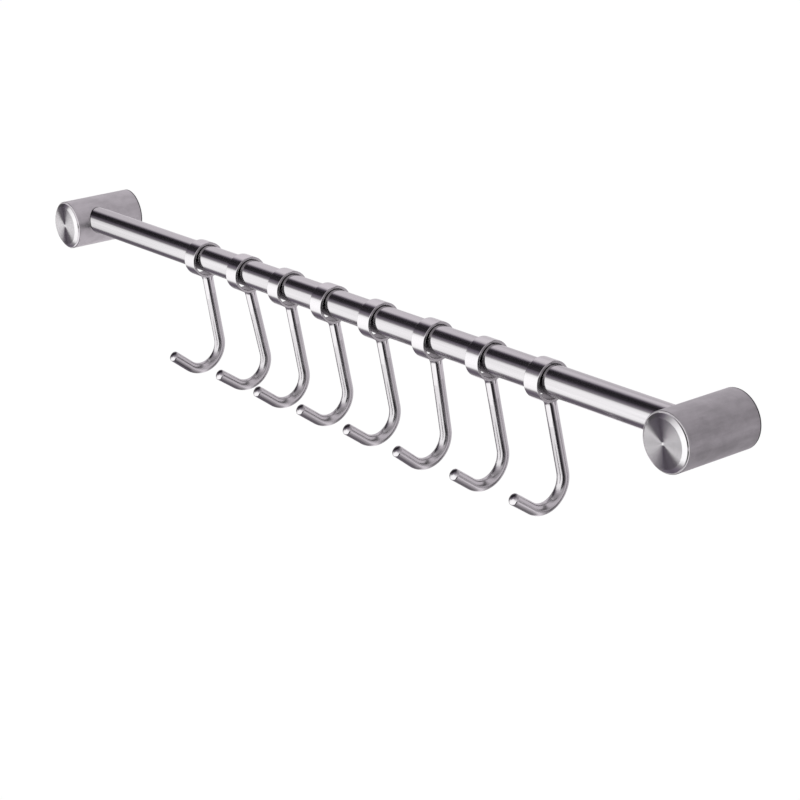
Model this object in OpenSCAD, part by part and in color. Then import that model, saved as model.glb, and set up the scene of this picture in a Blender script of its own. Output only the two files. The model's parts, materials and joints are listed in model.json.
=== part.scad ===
// Wall-mounted kitchen utensil rail with eight sliding ring hooks.
// X runs along the rail, +Y points into the wall and +Z points up.
// The origin lies on the wall, midway between the two wall screws.

/* [Rail] */
// Outside diameter of the rail tube
rail_diameter = 16; // [14:0.5:17]
// Wall thickness of the rail tube
rail_wall = 1.2; // [0.8:0.1:2]
// Distance between the centres of the two posts, which is also the screw spacing
post_spacing = 535; // [460:5:800]
// Distance from the wall to the rail's axis
rail_standoff = 30; // [28:0.5:33]
// How far the rail's axis lies above the middle of the posts
rail_rise = 2.6; // [0:0.2:3]
// Length of rail that reaches past each post's centre line
rail_insertion = 6; // [4:0.5:7]

/* [Posts] */
// Outside diameter of each post
post_diameter = 30; // [29:0.5:34]
// Distance from the wall to the front of the end cap
post_depth = 48.5; // [47:0.5:60]
// Wall thickness of the post's outer sleeve
sleeve_wall = 0.8; // [0.7:0.1:1.5]
// How far the sleeve's front rim lies behind the front of the end cap
rim_setback = 2; // [1.8:0.1:3]
// Share of the depth between the rail's bore and the sleeve's front rim that is solid core
core_wall_share = 0.44; // [0.3:0.01:0.6]
// Recess of the core's rear face behind the wall line
core_rear_gap = 0.5; // [0.2:0.1:1]

/* [End caps] */
// Width of the cap's bevel, measured across its face
cap_bevel = 2; // [0.5:0.1:3]
// Depth of the cap's bevel, back from its face
cap_bevel_depth = 1.4; // [0.4:0.1:1.7]
// Size of the small break on the cap's rear edge
cap_edge = 0.25; // [0.1:0.05:0.5]

/* [Wall bosses] */
// Diameter of the boss that is screwed to the wall inside each post
boss_diameter = 19.6; // [17:0.2:20]
// Length of the boss, out from the wall
boss_length = 11; // [10:0.25:12]
// Diameter of the hole for the wall screw
screw_hole_diameter = 4.5; // [3.5:0.1:5.5]
// Diameter of the countersink for the wall screw's head
countersink_diameter = 9; // [7:0.25:11]
// Depth of the locking groove round the boss
groove_depth = 1.2; // [0.8:0.1:1.6]
// Distance from the wall to the middle of the locking groove
groove_offset = 5.5; // [4.5:0.1:6]

/* [Grub screws] */
// Diameter of the grub screw that locks each post to its boss
grub_diameter = 5; // [4:0.5:5]
// Distance that the grub screw's outer end lies below the sleeve's surface
grub_recess = 0.8; // [0.2:0.1:1.5]
// Width across the flats of the hexagon socket
grub_socket = 2.5; // [2:0.5:2.5]
// Depth of the hexagon socket
grub_socket_depth = 2; // [1:0.25:2.5]

/* [Hook rings] */
// How much wider the rings' bore is than the rail
ring_play = 2.2; // [0.8:0.1:4]
// Wall thickness of the rings
ring_wall = 1.6; // [1:0.1:2.5]
// Width of the rings along the rail
ring_width = 10; // [7:0.5:14]
// Size of the chamfers on the rings' edges
ring_chamfer = 0.25; // [0.1:0.05:0.4]
// Place of each ring's middle along the rail
hook_places = [-134, -90, -48.5, -7.5, 35.5, 82, 125, 169.5]; // [-240:0.5:240]

/* [Hook wires] */
// Diameter of the hooks' round wire
wire_diameter = 6.4; // [4:0.1:7]
// Distance from the ring's axis down to the start of the bend
shank_length = 52; // [35:1:70]
// Radius of the bend, measured at the wire's centre
bend_radius = 13.8; // [9:0.2:18]
// Angle of the bend
bend_angle = 137; // [100:1:160]
// Length of the straight tip after the bend
tip_length = 14.7; // [6:0.1:24]
// Rounding of the wire's cut end
tip_rounding = 1; // [0.4:0.1:1.6]
// Lean of each hanging hook towards the wall, in degrees
hook_leans = [8, 11.5, 9.5, 10, 10, 7.5, 10.5, 11.5]; // [0:0.5:20]

/* [Fits] */
// Radial gap between the rail and the hole in the sleeve
rail_hole_gap = 0.3; // [0.2:0.05:0.5]
// Radial gap of the rail in the core's bore
rail_bore_gap = 0.1; // [0.05:0.05:0.3]
// Radial gap of pressed and pushed-together pieces
seat_gap = 0.1; // [0.05:0.05:0.3]
// Radial gap of the boss in the core's rear socket
boss_gap = 0.2; // [0.1:0.05:0.4]
// Gap between the top of the rail and a hanging ring, and between a ring and its wire
hang_gap = 0.15; // [0.1:0.05:0.3]

/* [Hidden] */
$fn = 96;

rail_r = rail_diameter / 2;
post_r = post_diameter / 2;
sleeve_bore_r = post_r - sleeve_wall;
rim_height = post_depth - rim_setback;
rim_break = 0.25;

core_r = sleeve_bore_r - seat_gap;
rail_bore_front = rail_standoff + rail_r + rail_bore_gap;
core_front = rail_bore_front + core_wall_share * (rim_height - rail_bore_front);
socket_depth = boss_length + 0.5;

boss_r = boss_diameter / 2;
boss_break = 0.4;
screw_hole_r = screw_hole_diameter / 2;
countersink_r = countersink_diameter / 2;

grub_r = grub_diameter / 2;
grub_outer = post_r - grub_recess;
grub_tip = boss_r - groove_depth + seat_gap;

ring_bore_r = (rail_diameter + ring_play) / 2;
ring_r = ring_bore_r + ring_wall;
ring_drop = ring_bore_r - rail_r - hang_gap;

wire_r = wire_diameter / 2;
tip_overlap = 0.4;
tip_r = wire_r - 0.02;
cope_r = ring_r + hang_gap;

left = -1;
right = 1;

// Turns a shape drawn along +Z so that it stands out from the wall on one post's axis
module on_post(side) {
    translate([side * post_spacing / 2, 0, 0])
        rotate([90, 0, 0])
            children();
}

// Round blind hole for the rail, drawn in a post's own frame and open towards the other post
module rail_hole(side, radius, past_centre) {
    reach = post_r + 1;
    translate([side * past_centre, rail_rise, rail_standoff])
        rotate([0, -side * 90, 0])
            cylinder(h = past_centre + reach, r = radius);
}

// Round hole from the post's underside to its axis, drawn in the post's own frame
module grub_hole(radius) {
    translate([0, 0, groove_offset])
        rotate([90, 0, 0])
            cylinder(h = post_r + 1, r = radius);
}

module rail_tube() {
    length = post_spacing + 2 * rail_insertion;
    color("silver")
        translate([-length / 2, -rail_standoff, rail_rise])
            rotate([0, 90, 0])
                difference() {
                    cylinder(h = length, r = rail_r);
                    translate([0, 0, -1])
                        cylinder(h = length + 2, r = rail_r - rail_wall);
                }
}

// Thin outer tube of a post, with the hole that the rail enters by
module post_sleeve(side) {
    color("darkgray")
        on_post(side)
            difference() {
                rotate_extrude()
                    polygon([
                        [sleeve_bore_r, 0],
                        [post_r - rim_break, 0],
                        [post_r, rim_break],
                        [post_r, rim_height - rim_break],
                        [post_r - rim_break, rim_height],
                        [sleeve_bore_r, rim_height]
                    ]);
                rail_hole(side, rail_r + rail_hole_gap, 0);
                grub_hole(grub_r + 2 * rail_hole_gap);
            }
}

// Turned cap pressed into the sleeve's front, against the core
module end_cap(side) {
    color("gainsboro")
        on_post(side)
            rotate_extrude()
                polygon([
                    [0, core_front],
                    [core_r - cap_edge, core_front],
                    [core_r, core_front + cap_edge],
                    [core_r, post_depth - cap_bevel_depth],
                    [core_r - cap_bevel, post_depth],
                    [0, post_depth]
                ]);
}

// Cast core that fills the sleeve, holds the rail's end and fits over the wall boss
module post_core(side) {
    color("slategray")
        on_post(side)
            difference() {
                translate([0, 0, core_rear_gap])
                    cylinder(h = core_front - core_rear_gap, r = core_r);
                translate([0, 0, core_rear_gap - 1])
                    cylinder(h = socket_depth + 1 - core_rear_gap, r = boss_r + boss_gap);
                rail_hole(side, rail_r + rail_bore_gap, rail_insertion + 0.3);
                grub_hole(grub_r + seat_gap);
            }
}

// Boss that is screwed to the wall, with a countersunk hole and a groove for the grub screw
module wall_boss(side) {
    sink = countersink_r - screw_hole_r;
    color("lightslategray")
        on_post(side)
            rotate_extrude()
                polygon([
                    [screw_hole_r, 0],
                    [boss_r, 0],
                    [boss_r, groove_offset - groove_depth - grub_r / 2],
                    [boss_r - groove_depth, groove_offset - grub_r / 2],
                    [boss_r - groove_depth, groove_offset + grub_r / 2],
                    [boss_r, groove_offset + groove_depth + grub_r / 2],
                    [boss_r, boss_length - boss_break],
                    [boss_r - boss_break, boss_length],
                    [countersink_r, boss_length],
                    [screw_hole_r, boss_length - sink]
                ]);
}

// Socket-headed grub screw in the core, with its cone seated in the boss's groove
module grub_screw(side) {
    cone = grub_r / 2;
    color("dimgray")
        on_post(side)
            translate([0, 0, groove_offset])
                rotate([90, 0, 0])
                    difference() {
                        rotate_extrude()
                            polygon([
                                [0, grub_tip],
                                [grub_r - cone, grub_tip],
                                [grub_r, grub_tip + cone],
                                [grub_r, grub_outer],
                                [0, grub_outer]
                            ]);
                        translate([0, 0, grub_outer - grub_socket_depth])
                            cylinder(h = grub_socket_depth + 1, d = grub_socket / cos(30), $fn = 6);
                    }
}

// Moves a shape drawn round the X axis to a hanging ring's own axis
module on_ring(i) {
    translate([hook_places[i], -rail_standoff, rail_rise - ring_drop])
        children();
}

module hook_ring(i) {
    color("gainsboro")
        on_ring(i)
            rotate([0, 90, 0])
                rotate_extrude()
                    polygon([
                        [ring_bore_r, ring_chamfer - ring_width / 2],
                        [ring_bore_r + ring_chamfer, -ring_width / 2],
                        [ring_r - ring_chamfer, -ring_width / 2],
                        [ring_r, ring_chamfer - ring_width / 2],
                        [ring_r, ring_width / 2 - ring_chamfer],
                        [ring_r - ring_chamfer, ring_width / 2],
                        [ring_bore_r + ring_chamfer, ring_width / 2],
                        [ring_bore_r, ring_width / 2 - ring_chamfer]
                    ]);
}

// Outline of the straight tip with its softened end, for turning about its own axis.
// It starts inside the bend, and is a hair thinner so that the two join cleanly.
function tip_outline() = concat(
    [[0, -tip_overlap], [tip_r, -tip_overlap]],
    [for (step = [0:4])
        let (a = 90 * step / 4)
            [tip_r - tip_rounding + tip_rounding * cos(a), tip_length - tip_rounding + tip_rounding * sin(a)]],
    [[0, tip_length]]);

// J of round wire: shank, bend and tip, coped at the top to the ring that it is joined to
module hook_wire(i) {
    color("lightgray")
        on_ring(i)
            rotate([hook_leans[i], 0, 0])
                difference() {
                    union() {
                        translate([0, 0, -shank_length])
                            cylinder(h = shank_length - ring_r + ring_wall, r = wire_r);
                        translate([0, -bend_radius, -shank_length]) {
                            rotate([-90, 0, 90])
                                rotate_extrude(angle = bend_angle)
                                    translate([bend_radius, 0])
                                        circle(r = wire_r);
                            rotate([-bend_angle, 0, 0])
                                translate([0, bend_radius, 0])
                                    rotate([180, 0, 0])
                                        rotate_extrude()
                                            polygon(tip_outline());
                        }
                    }
                    translate([-wire_diameter, 0, 0])
                        rotate([0, 90, 0])
                            cylinder(h = 2 * wire_diameter, r = cope_r);
                }
}

rail_tube();
post_sleeve(left);  // left_post_sleeve
post_sleeve(right);  // right_post_sleeve
end_cap(left);  // left_end_cap
end_cap(right);  // right_end_cap
post_core(left);  // left_post_core
post_core(right);  // right_post_core
wall_boss(left);  // left_wall_boss
wall_boss(right);  // right_wall_boss
grub_screw(left);  // left_grub_screw
grub_screw(right);  // right_grub_screw
hook_ring(0);  // hook_ring_1
hook_ring(1);  // hook_ring_2
hook_ring(2);  // hook_ring_3
hook_ring(3);  // hook_ring_4
hook_ring(4);  // hook_ring_5
hook_ring(5);  // hook_ring_6
hook_ring(6);  // hook_ring_7
hook_ring(7);  // hook_ring_8
hook_wire(0);  // hook_wire_1
hook_wire(1);  // hook_wire_2
hook_wire(2);  // hook_wire_3
hook_wire(3);  // hook_wire_4
hook_wire(4);  // hook_wire_5
hook_wire(5);  // hook_wire_6
hook_wire(6);  // hook_wire_7
hook_wire(7);  // hook_wire_8
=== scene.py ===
"""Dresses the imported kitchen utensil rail: smooth steel pieces, studio light and the photograph's camera."""
import json
import math

import bpy
import numpy as np
from mathutils import Euler, Matrix, Vector

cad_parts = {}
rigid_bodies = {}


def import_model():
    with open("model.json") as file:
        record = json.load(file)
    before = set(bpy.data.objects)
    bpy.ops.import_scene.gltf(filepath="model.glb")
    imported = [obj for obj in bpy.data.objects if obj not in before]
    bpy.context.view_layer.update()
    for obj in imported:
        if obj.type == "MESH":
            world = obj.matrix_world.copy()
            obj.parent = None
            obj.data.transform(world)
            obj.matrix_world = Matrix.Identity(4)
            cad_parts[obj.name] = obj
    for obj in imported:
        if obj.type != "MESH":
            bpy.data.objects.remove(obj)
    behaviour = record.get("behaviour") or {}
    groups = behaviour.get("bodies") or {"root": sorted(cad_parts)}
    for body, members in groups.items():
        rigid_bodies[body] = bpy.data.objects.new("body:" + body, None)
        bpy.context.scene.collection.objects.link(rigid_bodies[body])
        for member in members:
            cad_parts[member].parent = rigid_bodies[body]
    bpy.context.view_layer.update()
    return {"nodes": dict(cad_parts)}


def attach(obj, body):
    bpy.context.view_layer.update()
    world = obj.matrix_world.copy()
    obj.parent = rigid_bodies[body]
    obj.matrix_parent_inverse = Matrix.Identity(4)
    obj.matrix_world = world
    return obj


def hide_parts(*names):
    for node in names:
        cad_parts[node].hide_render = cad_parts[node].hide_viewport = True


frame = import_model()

MM = 0.001

# Sizes in millimetres, as in the CAD model
RAIL_R = 8
RAIL_BORE_R = 6.8
RAIL_HALF = 273.5
RAIL_HOLE_GAP = 0.3
STANDOFF = 30
RISE = 2.6
POST_X = 267.5
POST_R = 15
SLEEVE_BORE_R = 14.2
CAP_R = 14.1
CAP_BACK = 41.796
CAP_BEVEL = 2
CAP_BEVEL_DEPTH = 1.4
RIM = 46.5
POST_DEPTH = 48.5
GRUB_HOLE_R = 3.1
GRUB_AT = 5.5
RING_R = 10.7
RING_BORE_R = 9.1
RING_WIDTH = 10
RING_DROP = 0.95
WIRE_R = 3.2
COPE_R = 10.85
SHANK = 52
BEND_R = 13.8
BEND_ANGLE = 137
TIP = 14.7
PLACES = [-134, -90, -48.5, -7.5, 35.5, 82, 125, 169.5]
LEANS = [8, 11.5, 9.5, 10, 10, 7.5, 10.5, 11.5]

# Details in millimetres and degrees that only this model has
RAIL_EDGES = [0.2] * 4
CAP_EDGES = [0, 0.25, 0.15, 0.06, 0]
SLEEVE_EDGES = [0.1, 0.15, 0.58, 0.2]
RING_EDGES = [0.4, 0.4, 0.35, 0.35]
SADDLE_EDGE = 0.25
WELD_OUT = 0.6
WELD_DEPTH = 2.6
TIP_EDGE = 0.9
TIP_EDGE_ANGLE = 64

# Numbers of sides and steps in the round meshes
POST_SIDES = 192
RING_SIDES = 144
WIRE_SIDES = 64
HOLE_SIDES = 128
SADDLE_STEPS = 5
WELD_STEPS = 8
BEND_STEPS = 56


# Mesh building

def new_object(name, data):
    obj = bpy.data.objects.new(name, data)
    bpy.context.scene.collection.objects.link(obj)
    return obj


def rounded(points, radii, steps=5, closed=True):
    """Outline through 2-D points with each corner rounded: points and outward normals.
    The outline runs with its outside on its right. Ends of an open outline stay as they are."""
    points = [np.array(p, float) for p in points]
    out = []
    count = len(points)
    for i, p in enumerate(points):
        before = points[i - 1] if closed or i else None
        after = points[(i + 1) % count] if closed or i + 1 < count else None
        side_in = None if before is None else (p - before) / np.linalg.norm(p - before)
        side_out = None if after is None else (after - p) / np.linalg.norm(after - p)
        if side_in is None or side_out is None:
            d = side_out if side_in is None else side_in
            out.append((p, np.array([d[1], -d[0]])))
            continue
        n0 = np.array([side_in[1], -side_in[0]])
        n1 = np.array([side_out[1], -side_out[0]])
        turn = side_in[0] * side_out[1] - side_in[1] * side_out[0]
        sign = 1 if turn > 0 else -1
        centre = p - sign * radii[i] * (n0 + n1) / (1 + n0 @ n1)
        for k in range(steps + 1):
            n = n0 * (1 - k / steps) + n1 * k / steps
            n /= np.linalg.norm(n)
            out.append((centre + sign * radii[i] * n, n))
    return out


def skin(rows, normals, closed=False):
    """Vertices, normals and faces of a surface through rows of points. A row of one point is a pole."""
    verts, vnormals, starts = [], [], []
    for row, row_normals in zip(rows, normals):
        starts.append(len(verts))
        verts.extend(row)
        vnormals.extend(row_normals)
    faces = []
    pairs = list(zip(range(len(rows)), range(1, len(rows))))
    if closed:
        pairs.append((len(rows) - 1, 0))
    for a, b in pairs:
        na, nb = len(rows[a]), len(rows[b])
        n = max(na, nb)
        for k in range(n):
            j = (k + 1) % n
            if na == 1:
                faces.append((starts[a], starts[b] + j, starts[b] + k))
            elif nb == 1:
                faces.append((starts[a] + k, starts[a] + j, starts[b]))
            else:
                faces.append((starts[a] + k, starts[a] + j, starts[b] + j, starts[b] + k))
    return np.array(verts, float), np.array(vnormals, float), faces


def lathe(outline, axis, around=160, closed=True):
    """Turns an outline of (radius, height) about an axis: "X" heights run along +X, "Y" along -Y."""
    rows, normals = [], []
    for p, n in outline:
        row, row_normals = [], []
        for k in range(1 if p[0] < 1e-9 else around):
            a = 2 * math.pi * k / around
            c, s = math.cos(a), math.sin(a)
            if axis == "X":
                row.append((p[1], p[0] * c, p[0] * s))
                row_normals.append((n[1], n[0] * c, n[0] * s))
            else:
                row.append((p[0] * c, -p[1], p[0] * s))
                row_normals.append((n[0] * c, -n[1], n[0] * s))
        rows.append(row)
        normals.append(row_normals)
    return skin(rows, normals, closed)


def add_mesh(name, verts, normals, faces):
    """Mesh object in metres from millimetres, with its faces turned to match the given normals."""
    turned = []
    for f in faces:
        a, b, c = verts[f[0]], verts[f[1]], verts[f[2]]
        flat = np.cross(b - a, c - a)
        want = normals[list(f)].sum(0)
        turned.append(f if flat @ want > 0 else tuple(reversed(f)))
    mesh = bpy.data.meshes.new(name)
    mesh.from_pydata((verts * MM).tolist(), [], turned)
    mesh.validate()
    mesh.shade_smooth()
    lengths = np.linalg.norm(normals, axis=1, keepdims=True)
    mesh.normals_split_custom_set_from_vertices((normals / lengths).tolist())
    return new_object(name, mesh)


def finish_piece(obj, where, body, slot, material, *nodes):
    """Puts a piece in its place, on its body, in the place of its CAD nodes."""
    obj.location = Vector(where) * MM
    obj.data.materials.append(material)
    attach(obj, body)
    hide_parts(*nodes)


# Materials

class Nodes:
    """Short calls for building the node tree of a material or world."""

    def __init__(self, block):
        block.use_nodes = True
        self.tree = block.node_tree
        self.tree.nodes.clear()

    def add(self, kind, **values):
        node = self.tree.nodes.new("ShaderNode" + kind)
        for key, value in values.items():
            setattr(node, key, value)
        return node

    def link(self, source, target):
        self.tree.links.new(source, target)

    def put(self, socket, value):
        if isinstance(value, bpy.types.NodeSocket):
            self.link(value, socket)
        else:
            socket.default_value = value

    def math(self, operation, a, b=0.0):
        node = self.add("Math", operation=operation)
        self.put(node.inputs[0], a)
        self.put(node.inputs[1], b)
        return node.outputs[0]

    def length(self, a, b):
        return self.math("SQRT", self.math("ADD", self.math("MULTIPLY", a, a), self.math("MULTIPLY", b, b)))

    def degrees(self, a, b):
        """Angle whose tangent is a / b, in degrees."""
        return self.math("MULTIPLY", self.math("ARCTAN2", a, b), 180 / math.pi)

    def fade(self, value, low, high, to_low=0.0, to_high=1.0):
        node = self.add("MapRange", interpolation_type="SMOOTHSTEP")
        for i, v in enumerate((value, low, high, to_low, to_high)):
            self.put(node.inputs[i], v)
        return node.outputs[0]

    def between(self, value, start, full, waning, end):
        """1 from full to waning, and less on both sides down to 0 at start and at end."""
        return self.math("MULTIPLY", self.fade(value, start, full), self.fade(value, waning, end, 1.0, 0.0))

    def mix(self, factor, a, b):
        node = self.add("Mix", data_type="RGBA")
        self.put(node.inputs[0], factor)
        self.put(node.inputs[6], a)
        self.put(node.inputs[7], b)
        return node.outputs[2]

    def scaled(self, colour, factor):
        node = self.add("VectorMath", operation="SCALE")
        self.link(colour, node.inputs[0])
        self.link(factor, node.inputs["Scale"])
        return node.outputs[0]

    def toned(self, pattern, colour, tone):
        """Colour that a pattern makes darker and lighter by the share tone."""
        low = [c * (1 - tone) for c in colour]
        high = [min(1, c * (1 + tone)) for c in colour]
        return self.mix(self.fade(pattern, 0.3, 0.7), (*low, 1), (*high, 1))

    def split(self, vector):
        node = self.add("SeparateXYZ")
        self.link(vector, node.inputs[0])
        return node.outputs

    def noise(self, vector, scale, detail=3.0):
        """Noise in space, with its scale per metre along x, y and z."""
        node = self.add("TexNoise", noise_dimensions="3D")
        stretched = self.add("Mapping")
        self.link(vector, stretched.inputs[0])
        stretched.inputs["Scale"].default_value = scale
        self.link(stretched.outputs[0], node.inputs["Vector"])
        return self.noise_value(node, detail)

    def noise_along(self, value, detail):
        """Noise along one value."""
        node = self.add("TexNoise", noise_dimensions="1D")
        self.link(value, node.inputs["W"])
        return self.noise_value(node, detail)

    def noise_value(self, node, detail):
        node.inputs["Scale"].default_value = 1.0
        node.inputs["Detail"].default_value = detail
        node.inputs["Roughness"].default_value = 0.55
        return node.outputs["Fac"]


# Colour of the painted shade on the sleeves' rims by the wall
RIM_SHADE_AT_WALL = (0.07, 0.065, 0.07, 1)
HOLE_SHADE = (0.03, 0.028, 0.03, 1)


def steel(name, colour, roughness, grain, grain_height, *, streak=None, streak_height=0.0,
          spread=0.12, aniso=0.0, aniso_axis=None, tone=0.05, cloud=0.0, wall_shade_depth=None,
          shaded_from=None):
    """Brushed or polished steel. Grain and streak are noise scales per metre along x, y and z, with
    heights in thousandths of a millimetre. spread is the share by which the roughness varies, and cloud
    the strength of the soft patches. wall_shade_depth is the depth in metres of the painted shade at the wall.
    shaded_from is the distance from the posts' axes in metres within which the rail lies in the shade of
    its holes."""
    material = bpy.data.materials.new(name)
    g = Nodes(material)
    place = g.add("TexCoord").outputs["Object"]
    shader = g.add("BsdfPrincipled")
    g.link(shader.outputs[0], g.add("OutputMaterial").inputs[0])
    shader.inputs["Metallic"].default_value = 1.0

    fine = g.noise(place, grain)
    height = g.math("MULTIPLY", fine, grain_height)
    pattern = fine
    if streak is not None:
        wide = g.noise(place, streak, detail=2.0)
        height = g.math("ADD", height, g.math("MULTIPLY", wide, streak_height))
        pattern = g.math("MULTIPLY", g.math("ADD", fine, wide), 0.5)
    smudge = g.noise(place, (45, 45, 45), detail=4.0)

    base = g.toned(pattern, colour, tone)
    if cloud:
        patches = g.noise(place, (170, 130, 170))
        base = g.scaled(base, g.fade(patches, 0.3, 0.7, 1 - cloud, 1 + cloud))
    if wall_shade_depth is not None:
        # Painted shade: the rim at the wall is darkened over the given depth
        x, y, z = g.split(place)
        base = g.mix(g.fade(g.math("ABSOLUTE", y), wall_shade_depth * 0.7, wall_shade_depth), RIM_SHADE_AT_WALL, base)
    if shaded_from is not None:
        x, y, z = g.split(place)
        along = g.math("SUBTRACT", g.math("ABSOLUTE", x), POST_X * MM)
        above = g.math("ADD", z, RISE * MM)
        away = g.length(along, above)
        base = g.mix(g.fade(away, shaded_from - 0.0002, shaded_from), HOLE_SHADE, base)
    g.link(base, shader.inputs["Base Color"])
    varied = g.math("ADD", g.math("MULTIPLY", pattern, 0.7), g.math("MULTIPLY", smudge, 0.3))
    rough = g.fade(varied, 0.3, 0.7, roughness * (1 - spread), roughness * (1 + spread))
    g.link(rough, shader.inputs["Roughness"])

    bump = g.add("Bump")
    bump.inputs["Strength"].default_value = 1.0
    bump.inputs["Distance"].default_value = 1e-6
    g.link(height, bump.inputs["Height"])
    g.link(bump.outputs[0], shader.inputs["Normal"])
    if aniso:
        shader.inputs["Anisotropic"].default_value = aniso
        tangent = g.add("Tangent", direction_type="RADIAL", axis=aniso_axis)
        g.link(tangent.outputs[0], shader.inputs["Tangent"])
    return material


def turned_steel(name, colour, roughness, slope, tone=0.05):
    """Face turned on a lathe: each fine groove round the local Y axis shows an outer and an inner flank.
    slope is how steep the flanks are."""
    material = bpy.data.materials.new(name)
    g = Nodes(material)
    place = g.add("TexCoord").outputs["Object"]
    x, y, z = g.split(place)
    radius = g.length(x, z)
    rings = g.noise_along(g.math("MULTIPLY", radius, 5500), detail=5.0)
    smudge = g.noise(place, (60, 60, 60), detail=4.0)
    base = g.toned(rings, colour, tone)
    steep = g.fade(radius, 0.0002, 0.0011, 0.02, slope)
    steep = g.math("MULTIPLY", steep, g.fade(rings, 0.25, 0.75, 0.85, 1.15))
    flanks = []
    for sign in (1, -1):
        shader = g.add("BsdfPrincipled")
        shader.inputs["Metallic"].default_value = 1.0
        g.link(base, shader.inputs["Base Color"])
        g.link(g.fade(smudge, 0.3, 0.7, roughness * 0.9, roughness * 1.1), shader.inputs["Roughness"])
        lean = g.math("DIVIDE", g.math("MULTIPLY", steep, sign), g.math("MAXIMUM", radius, 1e-5))
        way = g.add("CombineXYZ")
        g.link(g.math("MULTIPLY", x, lean), way.inputs[0])
        way.inputs[1].default_value = -1.0
        g.link(g.math("MULTIPLY", z, lean), way.inputs[2])
        world_way = g.add("VectorTransform", vector_type="NORMAL", convert_from="OBJECT", convert_to="WORLD")
        g.link(way.outputs[0], world_way.inputs[0])
        g.link(world_way.outputs[0], shader.inputs["Normal"])
        flanks.append(shader)
    both = g.add("MixShader")
    g.link(g.fade(rings, 0.2, 0.8, 0.35, 0.65), both.inputs[0])
    g.link(flanks[0].outputs[0], both.inputs[1])
    g.link(flanks[1].outputs[0], both.inputs[2])
    g.link(both.outputs[0], g.add("OutputMaterial").inputs[0])
    return material


RAIL_STEEL = steel("rail_steel", (0.555, 0.545, 0.555), 0.12, (25, 9000, 9000), 1.2,
                   streak=(8, 1100, 1100), streak_height=2.0, spread=0.2,
                   aniso=0.6, aniso_axis="X", tone=0.09, shaded_from=0.01535)
# Both sleeves are the same steel; the right one's darker colour is painted shade
SLEEVE_STEEL = {}
for side, colour in (("left", (0.54, 0.525, 0.54)), ("right", (0.47, 0.455, 0.47))):
    SLEEVE_STEEL[side] = steel(side + "_sleeve_steel", colour, 0.4, (5000, 900, 5000), 3.0,
                               streak=(800, 70, 800), streak_height=3.0,
                               aniso=0.35, aniso_axis="Y", tone=0.06, cloud=0.08, wall_shade_depth=0.0009)
CAP_STEEL = turned_steel("cap_steel", (0.62, 0.61, 0.62), 0.2, 0.75)
BEVEL_STEEL = steel("bevel_steel", (0.64, 0.635, 0.64), 0.12, (2500, 2500, 2500), 0.3, spread=0.2, tone=0.02)
RING_STEEL = steel("ring_steel", (0.64, 0.63, 0.64), 0.1, (900, 6000, 6000), 0.4, spread=0.25, tone=0.03)
# Darker steel for the ring bores and the rings' flat ends: painted shade
RING_BORE_SHADE = steel("ring_bore_painted_shade", (0.28, 0.27, 0.28), 0.3, (900, 3000, 3000), 2.0, spread=0.2, tone=0.1)
RING_END_SHADE = steel("ring_end_painted_shade", (0.5, 0.49, 0.5), 0.25, (900, 3000, 3000), 1.0, spread=0.2)
WIRE_STEEL = steel("wire_steel", (0.54, 0.53, 0.54), 0.2, (900, 900, 150), 0.1,
                   streak=(400, 400, 50), streak_height=0.15, spread=0.2, tone=0.03)
TIP_STEEL = steel("tip_steel", (0.62, 0.61, 0.62), 0.07, (2500, 2500, 2500), 0.05, spread=0.2, tone=0.02)
CORE_METAL = steel("core_metal", (0.42, 0.42, 0.43), 0.5, (2500, 2500, 2500), 8.0,
                   streak=(500, 500, 500), streak_height=10.0, spread=0.2, tone=0.08)
BOSS_METAL = steel("boss_metal", (0.5, 0.5, 0.5), 0.35, (2500, 6000, 2500), 3.0, spread=0.2, tone=0.06)
SCREW_STEEL = steel("screw_steel", (0.06, 0.06, 0.065), 0.42, (3000, 3000, 3000), 3.0,
                    spread=0.25, tone=0.15)


# The rail and the posts

def make_rail():
    corners = [(RAIL_BORE_R, RAIL_HALF), (RAIL_BORE_R, -RAIL_HALF), (RAIL_R, -RAIL_HALF), (RAIL_R, RAIL_HALF)]
    outline = rounded(corners, RAIL_EDGES, steps=3)
    rail = add_mesh("rail", *lathe(outline, "X"))
    finish_piece(rail, (0, -STANDOFF, RISE), "rail_frame", "rail_steel", RAIL_STEEL, "rail_tube")


def make_cap(side, x):
    """Disc with its bevel, turned about the post's axis. Only its flat face has the turned finish."""
    face_r = CAP_R - CAP_BEVEL
    corners = [(0, CAP_BACK), (CAP_R, CAP_BACK), (CAP_R, POST_DEPTH - CAP_BEVEL_DEPTH), (face_r, POST_DEPTH),
               (0, POST_DEPTH)]
    outline = rounded(corners, CAP_EDGES, steps=4, closed=False)
    outline[0] = (outline[0][0], np.array([0.0, -1.0]))
    outline[-1] = (outline[-1][0], np.array([0.0, 1.0]))
    cap = add_mesh(side + "_cap", *lathe(outline, "Y", around=POST_SIDES, closed=False))
    finish_piece(cap, (x, 0, 0), "rail_frame", "post_steel", BEVEL_STEEL, side + "_end_cap")
    cap.data.materials.append(CAP_STEEL)
    for face in cap.data.polygons:
        middle = face.center / MM
        face.material_index = int(middle.y < 0.05 - POST_DEPTH and math.hypot(middle.x, middle.z) < face_r)


def make_cutter(radius, centre, turn):
    """Cylinder along Z, turned, that cuts a round hole."""
    reach = 12
    ring = []
    for k in range(HOLE_SIDES):
        a = 2 * math.pi * k / HOLE_SIDES
        ring.append((radius * math.cos(a), radius * math.sin(a)))
    verts = [(a * MM, b * MM, z * MM) for z in (-reach, reach) for a, b in ring]
    faces = []
    for k in range(HOLE_SIDES):
        j = (k + 1) % HOLE_SIDES
        faces.append((k, j, HOLE_SIDES + j, HOLE_SIDES + k))
    faces.append(tuple(reversed(range(HOLE_SIDES))))
    faces.append(tuple(range(HOLE_SIDES, 2 * HOLE_SIDES)))
    mesh = bpy.data.meshes.new("cutter")
    mesh.from_pydata(verts, [], faces)
    cutter = new_object("cutter", mesh)
    cutter.rotation_euler = turn
    cutter.location = Vector(centre) * MM
    return cutter


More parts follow.
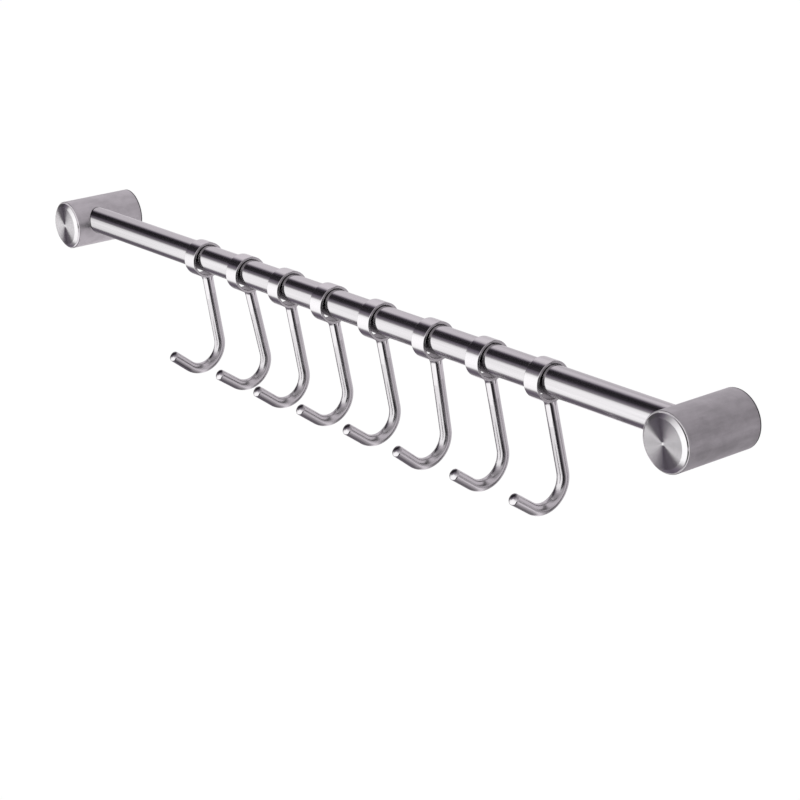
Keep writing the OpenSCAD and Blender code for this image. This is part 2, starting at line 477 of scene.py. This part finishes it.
def sleeve_normals(mesh, outline, holes):
    """Exact normal of the surface that each corner lies on, because the cuts leave uneven faces."""
    profile = np.array([p for p, n in outline])
    profile_normals = np.array([n for p, n in outline])
    normals = []
    for face in mesh.polygons:
        hole_arms = None
        for radius, centre, turn in holes:
            axis = Vector((0, 0, 1))
            axis.rotate(turn)
            arms = []
            for i in face.vertices:
                arm = mesh.vertices[i].co / MM - Vector(centre)
                arms.append(arm - arm.dot(axis) * axis)
            if all(abs(a.length - radius) < 0.02 for a in arms) and abs(face.normal.dot(axis)) < 0.3:
                hole_arms = arms
        for n, i in enumerate(face.vertices):
            if hole_arms:
                normals.append(-hole_arms[n].normalized())
                continue
            px, py, pz = mesh.vertices[i].co / MM
            r = math.hypot(px, pz)
            if abs(r - POST_R) < 0.01 and abs(face.normal.y) < 0.05:
                normal = (1.0, 0.0)
            elif abs(r - SLEEVE_BORE_R) < 0.01 and abs(face.normal.y) < 0.05:
                normal = (-1.0, 0.0)
            else:
                nearest = np.argmin(((profile - (r, -py)) ** 2).sum(1))
                normal = profile_normals[nearest]
            normals.append(Vector((normal[0] * px / r, -normal[1], normal[0] * pz / r)))
    return normals


def make_sleeve(side, x):
    """Thin tube with softened rims, and the holes for the rail and the grub screw cut through it."""
    corners = [(SLEEVE_BORE_R, 0), (POST_R, 0), (POST_R, RIM), (SLEEVE_BORE_R, RIM)]
    outline = rounded(corners, SLEEVE_EDGES, steps=4)
    sleeve = add_mesh(side + "_sleeve", *lathe(outline, "Y", around=POST_SIDES))
    inward = -1 if x > 0 else 1
    hole_middle = POST_R + 1
    holes = [
        (RAIL_R + RAIL_HOLE_GAP, (inward * hole_middle, -STANDOFF, RISE), Euler((0, math.pi / 2, 0))),
        (GRUB_HOLE_R, (0, -GRUB_AT, -hole_middle), Euler((0, 0, 0))),
    ]
    cutters = [make_cutter(*hole) for hole in holes]
    for cutter in cutters:
        cut = sleeve.modifiers.new("cut", "BOOLEAN")
        cut.operation = "DIFFERENCE"
        cut.solver = "EXACT"
        cut.object = cutter
    bpy.context.view_layer.update()
    graph = bpy.context.evaluated_depsgraph_get()
    mesh = bpy.data.meshes.new_from_object(sleeve.evaluated_get(graph))
    sleeve.modifiers.clear()
    sleeve.data = mesh
    for cutter in cutters:
        bpy.data.objects.remove(cutter)

    mesh.shade_smooth()
    mesh.normals_split_custom_set([n[:] for n in sleeve_normals(mesh, outline, holes)])
    finish_piece(sleeve, (x, 0, 0), "rail_frame", "post_steel", SLEEVE_STEEL[side], side + "_post_sleeve")


# The hooks

def make_ring(i, x):
    """Short tube; its bore and flat ends get a darker colour than its outside, as painted shade."""
    half = RING_WIDTH / 2
    corners = [(RING_BORE_R, half), (RING_BORE_R, -half), (RING_R, -half), (RING_R, half)]
    outline = rounded(corners, RING_EDGES)
    ring = add_mesh(f"ring_{i}", *lathe(outline, "X", around=RING_SIDES))
    finish_piece(ring, (x, -STANDOFF, RISE - RING_DROP), f"ring_{i}", "ring_steel", RING_STEEL,
                 f"hook_ring_{i}")
    # The bore and the flat ends take the darker steel of painted shade
    ring.data.materials.append(RING_BORE_SHADE)
    ring.data.materials.append(RING_END_SHADE)
    for face in ring.data.polygons:
        middle = face.center / MM
        if math.hypot(middle.y, middle.z) < RING_BORE_R + 0.1:
            face.material_index = 1
        elif abs(middle.x) > half - 0.1:
            face.material_index = 2


def weld_rows(i, angles):
    """Rows of the saddle that follows the ring, its edge, and the weld's uneven hollow down to the
    wire's side, from the saddle's middle outwards and down."""
    edge_rows = [([], []) for _ in range(SADDLE_STEPS + 1)]
    hollow_rows = [([], []) for _ in range(WELD_STEPS)]
    for a in angles:
        side = np.array([math.cos(a), math.sin(a), 0.0])
        out = WELD_OUT * (1 + 0.25 * math.sin(3 * a + 1.7 * i) + 0.12 * math.sin(7 * a + 0.9 * i))
        y = (WIRE_R + out) * side[1]
        drop = math.sqrt(COPE_R ** 2 - y * y)
        top = np.array([(WIRE_R + out) * side[0], y, -drop])
        up = np.array([0.0, -y, drop]) / COPE_R
        centre = top - SADDLE_EDGE * (up + side) / (1 + up @ side)
        for k, (row, row_normals) in enumerate(edge_rows):
            n = up * (1 - k / SADDLE_STEPS) + side * k / SADDLE_STEPS
            n /= np.linalg.norm(n)
            row.append(centre + SADDLE_EDGE * n)
            row_normals.append(n)
        for k, (row, row_normals) in enumerate(hollow_rows, start=1):
            share = 1 - k / WELD_STEPS
            row.append((WIRE_R + out * share * share) * side + [0, 0, centre[2] - WELD_DEPTH * (1 - share)])
            row_normals.append(WELD_DEPTH * side - [0, 0, 2 * out * share])
    rows, normals = [[(0, 0, -COPE_R)]], [[(0, 0, 1)]]
    for share in (0.35, 0.7, 0.9):
        flat = [p[:2] * share for p in edge_rows[0][0]]
        rows.append([(q[0], q[1], -math.sqrt(COPE_R ** 2 - q[1] ** 2)) for q in flat])
        normals.append([(0, -q[1] / COPE_R, math.sqrt(1 - (q[1] / COPE_R) ** 2)) for q in flat])
    for row, row_normals in edge_rows + hollow_rows:
        rows.append(row)
        normals.append(row_normals)
    return rows, normals


def bend_point(angle):
    """Middle of the wire and its direction at an angle round the bend."""
    c, s = math.cos(angle), math.sin(angle)
    return np.array([0, -BEND_R + BEND_R * c, -SHANK - BEND_R * s]), np.array([0, -s, -c])


def make_wire(i, x, lean):
    """J of round wire, from the weld on its saddle under the ring to the softened tip."""
    angles = [2 * math.pi * k / WIRE_SIDES for k in range(WIRE_SIDES)]
    rows, normals = weld_rows(i, angles)

    def station(centre, direction, radius, tilt=0.0):
        """One row round the wire. tilt turns its normals towards the wire's end."""
        centre, direction = np.array(centre, float), np.array(direction, float)
        across = np.array([0.0, -direction[2], direction[1]])
        if radius < 1e-9:
            rows.append([centre])
            normals.append([direction])
            return
        out = [math.cos(a) * np.array([1.0, 0, 0]) + math.sin(a) * across for a in angles]
        rows.append([centre + radius * o for o in out])
        normals.append([math.cos(tilt) * o + math.sin(tilt) * direction for o in out])

    for depth in np.linspace(15, SHANK, 12):
        station((0, 0, -depth), (0, 0, -1), WIRE_R)
    for k in range(1, BEND_STEPS + 1):
        station(*bend_point(math.radians(BEND_ANGLE * k / BEND_STEPS)), WIRE_R)

    # Tip: a tight curve at the edge runs into a shallow dome
    end, way = bend_point(math.radians(BEND_ANGLE))
    steep = math.radians(TIP_EDGE_ANGLE)
    rim_r = WIRE_R - TIP_EDGE + TIP_EDGE * math.cos(steep)
    dome_r = rim_r / math.cos(steep)
    rim_at = TIP - dome_r * (1 - math.sin(steep))
    base_at = rim_at - TIP_EDGE * math.sin(steep)
    for at in np.linspace(2, base_at, 6):
        station(end + at * way, way, WIRE_R)
    for k in range(1, 7):
        a = steep * k / 6
        at = base_at + TIP_EDGE * math.sin(a)
        station(end + at * way, way, WIRE_R - TIP_EDGE + TIP_EDGE * math.cos(a), a)
    for k in range(1, 6):
        a = steep + (math.pi / 2 - steep) * k / 5
        at = TIP - dome_r * (1 - math.sin(a))
        station(end + at * way, way, dome_r * math.cos(a) if k < 5 else 0, a)

    verts, vnormals, faces = skin(rows, normals)
    swing = np.array(Matrix.Rotation(math.radians(lean), 3, "X"))
    wire = add_mesh(f"wire_{i}", verts @ swing.T, vnormals @ swing.T, faces)
    finish_piece(wire, (x, -STANDOFF, RISE - RING_DROP), f"wire_{i}", "wire_steel", WIRE_STEEL,
                 f"hook_wire_{i}")
    wire.data.materials.append(TIP_STEEL)
    tip_start, tip_way = Vector(swing @ end), Vector(swing @ way)
    for face in wire.data.polygons:
        face.material_index = int((face.center / MM - tip_start).dot(tip_way) > base_at)


make_rail()
for side, x in (("left", -POST_X), ("right", POST_X)):
    make_sleeve(side, x)
    make_cap(side, x)
    for node, material in (("post_core", CORE_METAL), ("wall_boss", BOSS_METAL), ("grub_screw", SCREW_STEEL)):
        frame["nodes"][f"{side}_{node}"].material_slots[0].material = material
# No piece of the posts shows in reflections
for obj in bpy.data.objects:
    if obj.name.startswith(("left_", "right_")):
        obj.visible_glossy = False
for i, (x, lean) in enumerate(zip(PLACES, LEANS), start=1):
    make_ring(i, x)
    make_wire(i, x, lean)


# Studio: only the metals' reflections see it, and everything else is lit by plain white. Its parts and
# levels were set to give the bands and stripes that the photograph shows on the metals.

REFLECTED_STRENGTH = 1.65
# Angle round the rail from the front, up positive, and brightness there
SOFT_BOX = [(-180, 0.55), (-150, 0.42), (-125, 0.2), (-110, 0.15), (-97, 0.12), (-87, 0.1), (-77, 0.13),
            (-66, 0.22), (-58, 0.7), (-52, 0.88), (-20, 0.94), (6, 0.92), (16, 0.8), (26, 0.22), (36, 0.13),
            (50, 0.02), (72, 0.012), (84, 0.03), (92, 0.14), (100, 0.42), (112, 0.56), (140, 0.53),
            (160, 0.5), (180, 0.55)]
OPEN_ROOM = [(-180, 0.52), (-150, 0.5), (-125, 0.52), (-112, 0.37), (-92, 0.28), (-72, 0.4), (-55, 0.85),
             (-45, 0.96), (10, 0.96), (25, 0.85), (38, 0.5), (60, 0.26), (90, 0.28), (115, 0.5), (180, 0.52)]
LEFT_END_LOW = (0.5, 0.48, 0.5, 1)
LEFT_END_HIGH = (0.06, 0.056, 0.06, 1)
RIGHT_END = (0.38, 0.36, 0.38, 1)
LOW_BEHIND = (0.74, 0.705, 0.74, 1)
WALL_LEFT = (0.45, 0.425, 0.45, 1)
WALL_RIGHT = (0.03, 0.028, 0.03, 1)
DARK_SIDE = (0.02, 0.018, 0.021, 1)
WHITE = (1, 1, 1, 1)


def band_colour(level):
    """Dark bands are slightly purple, and bright ones nearly white."""
    if level < 0.15:
        green, blue = 0.86, 1.08
    elif level < 0.7:
        green, blue = 0.94, 1.0
    else:
        green, blue = 0.99, 1.0
    return level, level * green, level * blue, 1


def band_light(w, bands, angle):
    """Colour by the angle round the rail."""
    ramp = w.add("ValToRGB")
    ramp.color_ramp.interpolation = "EASE"
    while len(ramp.color_ramp.elements) < len(bands):
        ramp.color_ramp.elements.new(0.5)
    for element, (at, level) in zip(ramp.color_ramp.elements, bands):
        element.position = (at + 180) / 360
        element.color = band_colour(level)
    w.link(w.math("DIVIDE", w.math("ADD", angle, 180), 360), ramp.inputs[0])
    return ramp.outputs[0]


def studio_light(w):
    """Colour of the studio by direction."""
    x, y, z = w.split(w.add("TexCoord").outputs["Generated"])
    forward = w.math("MULTIPLY", y, -1.0)
    round_rail = w.degrees(z, forward)
    round_z = w.degrees(x, forward)

    # Long soft box in front, with black flags above and below it. It rises to the right.
    tilt = w.math("MULTIPLY", w.fade(x, -0.82, -0.5), w.fade(z, -0.2, 0.2, 7.0, 16.0))
    box = band_light(w, SOFT_BOX, w.math("SUBTRACT", round_rail, tilt))
    box = w.scaled(box, w.fade(x, -0.87, -0.79, 0.78, 1.0))

    # Open room to the right, which starts nearer to the left above than below
    above = w.fade(z, -0.3, 0.1)
    overhead = w.math("ADD", x, w.fade(round_rail, 52, 78, 0.0, 0.2))
    open_above = w.math("MULTIPLY", above, w.fade(overhead, -0.45, 0.1))
    open_below = w.math("MULTIPLY", w.math("SUBTRACT", 1.0, above), w.fade(x, -0.1, 0.55))
    light = w.mix(w.math("ADD", open_above, open_below), box, band_light(w, OPEN_ROOM, round_rail))

    # The bands run out towards both ends of the rail
    off_axis = w.length(y, z)
    left_end = w.mix(w.fade(z, -0.25, -0.02), LEFT_END_LOW, LEFT_END_HIGH)
    ends = w.mix(w.fade(x, -0.2, 0.2), left_end, RIGHT_END)
    light = w.mix(w.fade(off_axis, 0.2, 0.45), ends, light)

    # Paler patch low down and behind
    low_behind = w.math("MULTIPLY", w.between(y, 0.33, 0.47, 0.5, 0.62), w.fade(z, -0.55, -0.4, 1.0, 0.0))
    light = w.mix(low_behind, light, LOW_BEHIND)

    # Beside the wall it gets darker to the right, apart from a strip a little below level
    wall = w.mix(w.fade(x, -0.8, 0.8), WALL_LEFT, WALL_RIGHT)
    off_strip = w.fade(w.math("ABSOLUTE", w.math("ADD", z, 0.27)), 0.04, 0.13, 0.2, 1.0)
    beside = w.between(y, 0.5, 0.66, 0.72, 0.8)
    light = w.mix(w.math("MULTIPLY", beside, off_strip), light, wall)

    # Dark side of the room, where the camera stands. Nearer to the front it reaches higher.
    dark = w.between(round_z, 28, 44, 74, 112)
    height = w.math("SUBTRACT", z, w.fade(round_z, 55, 85, 0.45, 0.0))
    dark = w.math("MULTIPLY", dark, w.fade(height, -0.28, 0.0, 1.0, 0.0))
    return w.mix(dark, light, DARK_SIDE)


def make_world():
    world = bpy.data.worlds.new("studio")
    bpy.context.scene.world = world
    w = Nodes(world)
    reflected = w.add("Background")
    w.link(studio_light(w), reflected.inputs[0])
    reflected.inputs[1].default_value = REFLECTED_STRENGTH
    plain = w.add("Background")
    plain.inputs[0].default_value = WHITE
    plain.inputs[1].default_value = 1.0
    choose = w.add("MixShader")
    w.link(w.add("LightPath").outputs["Is Glossy Ray"], choose.inputs[0])
    w.link(plain.outputs[0], choose.inputs[1])
    w.link(reflected.outputs[0], choose.inputs[2])
    w.link(choose.outputs[0], w.add("OutputWorld").inputs[0])


def make_floor():
    """Pale floor that shows white to the camera and keeps a faint shadow."""
    half, drop, grey, glow_to_camera = 9, 0.9, 0.3, 0.71
    mesh = bpy.data.meshes.new("floor")
    mesh.from_pydata([(-half, -half, 0), (half, -half, 0), (half, half, 0), (-half, half, 0)], [],
                     [(0, 1, 2, 3)])
    floor = new_object("floor", mesh)
    floor.location = (0, 0, -drop)
    floor.visible_glossy = False
    material = bpy.data.materials.new("floor")
    f = Nodes(material)
    lit = f.add("BsdfDiffuse")
    lit.inputs[0].default_value = (grey, grey, grey, 1)
    glow = f.add("Emission")
    glow.inputs[0].default_value = WHITE
    f.link(f.math("MULTIPLY", f.add("LightPath").outputs["Is Camera Ray"], glow_to_camera), glow.inputs[1])
    both = f.add("AddShader")
    f.link(lit.outputs[0], both.inputs[0])
    f.link(glow.outputs[0], both.inputs[1])
    f.link(both.outputs[0], f.add("OutputMaterial").inputs[0])
    mesh.materials.append(material)


# Camera fitted to the photograph: angles in degrees, place in metres and lens in millimetres
AZIMUTH = 52.2432
ELEVATION = 19.5750
ROLL = -1.8509
CAMERA_PLACE = (0.8912243, -0.6798094, 0.3377921)
LENS = 94.430
SENSOR = 36


def make_camera():
    azimuth, elevation, roll = (math.radians(v) for v in (AZIMUTH, ELEVATION, ROLL))
    back = Vector((math.sin(azimuth) * math.cos(elevation), -math.cos(azimuth) * math.cos(elevation),
                   math.sin(elevation)))
    level = Vector((math.cos(azimuth), math.sin(azimuth), 0))
    upright = back.cross(level)
    right = math.cos(roll) * level + math.sin(roll) * upright
    up = math.cos(roll) * upright - math.sin(roll) * level
    data = bpy.data.cameras.new("camera")
    data.sensor_width = SENSOR
    data.lens = LENS
    camera = new_object("camera", data)
    turn = Matrix((right, up, back)).transposed().to_4x4()
    camera.matrix_world = Matrix.Translation(CAMERA_PLACE) @ turn
    bpy.context.scene.camera = camera


make_world()
make_floor()
bpy.context.scene.view_settings.view_transform = "Standard"
make_camera()
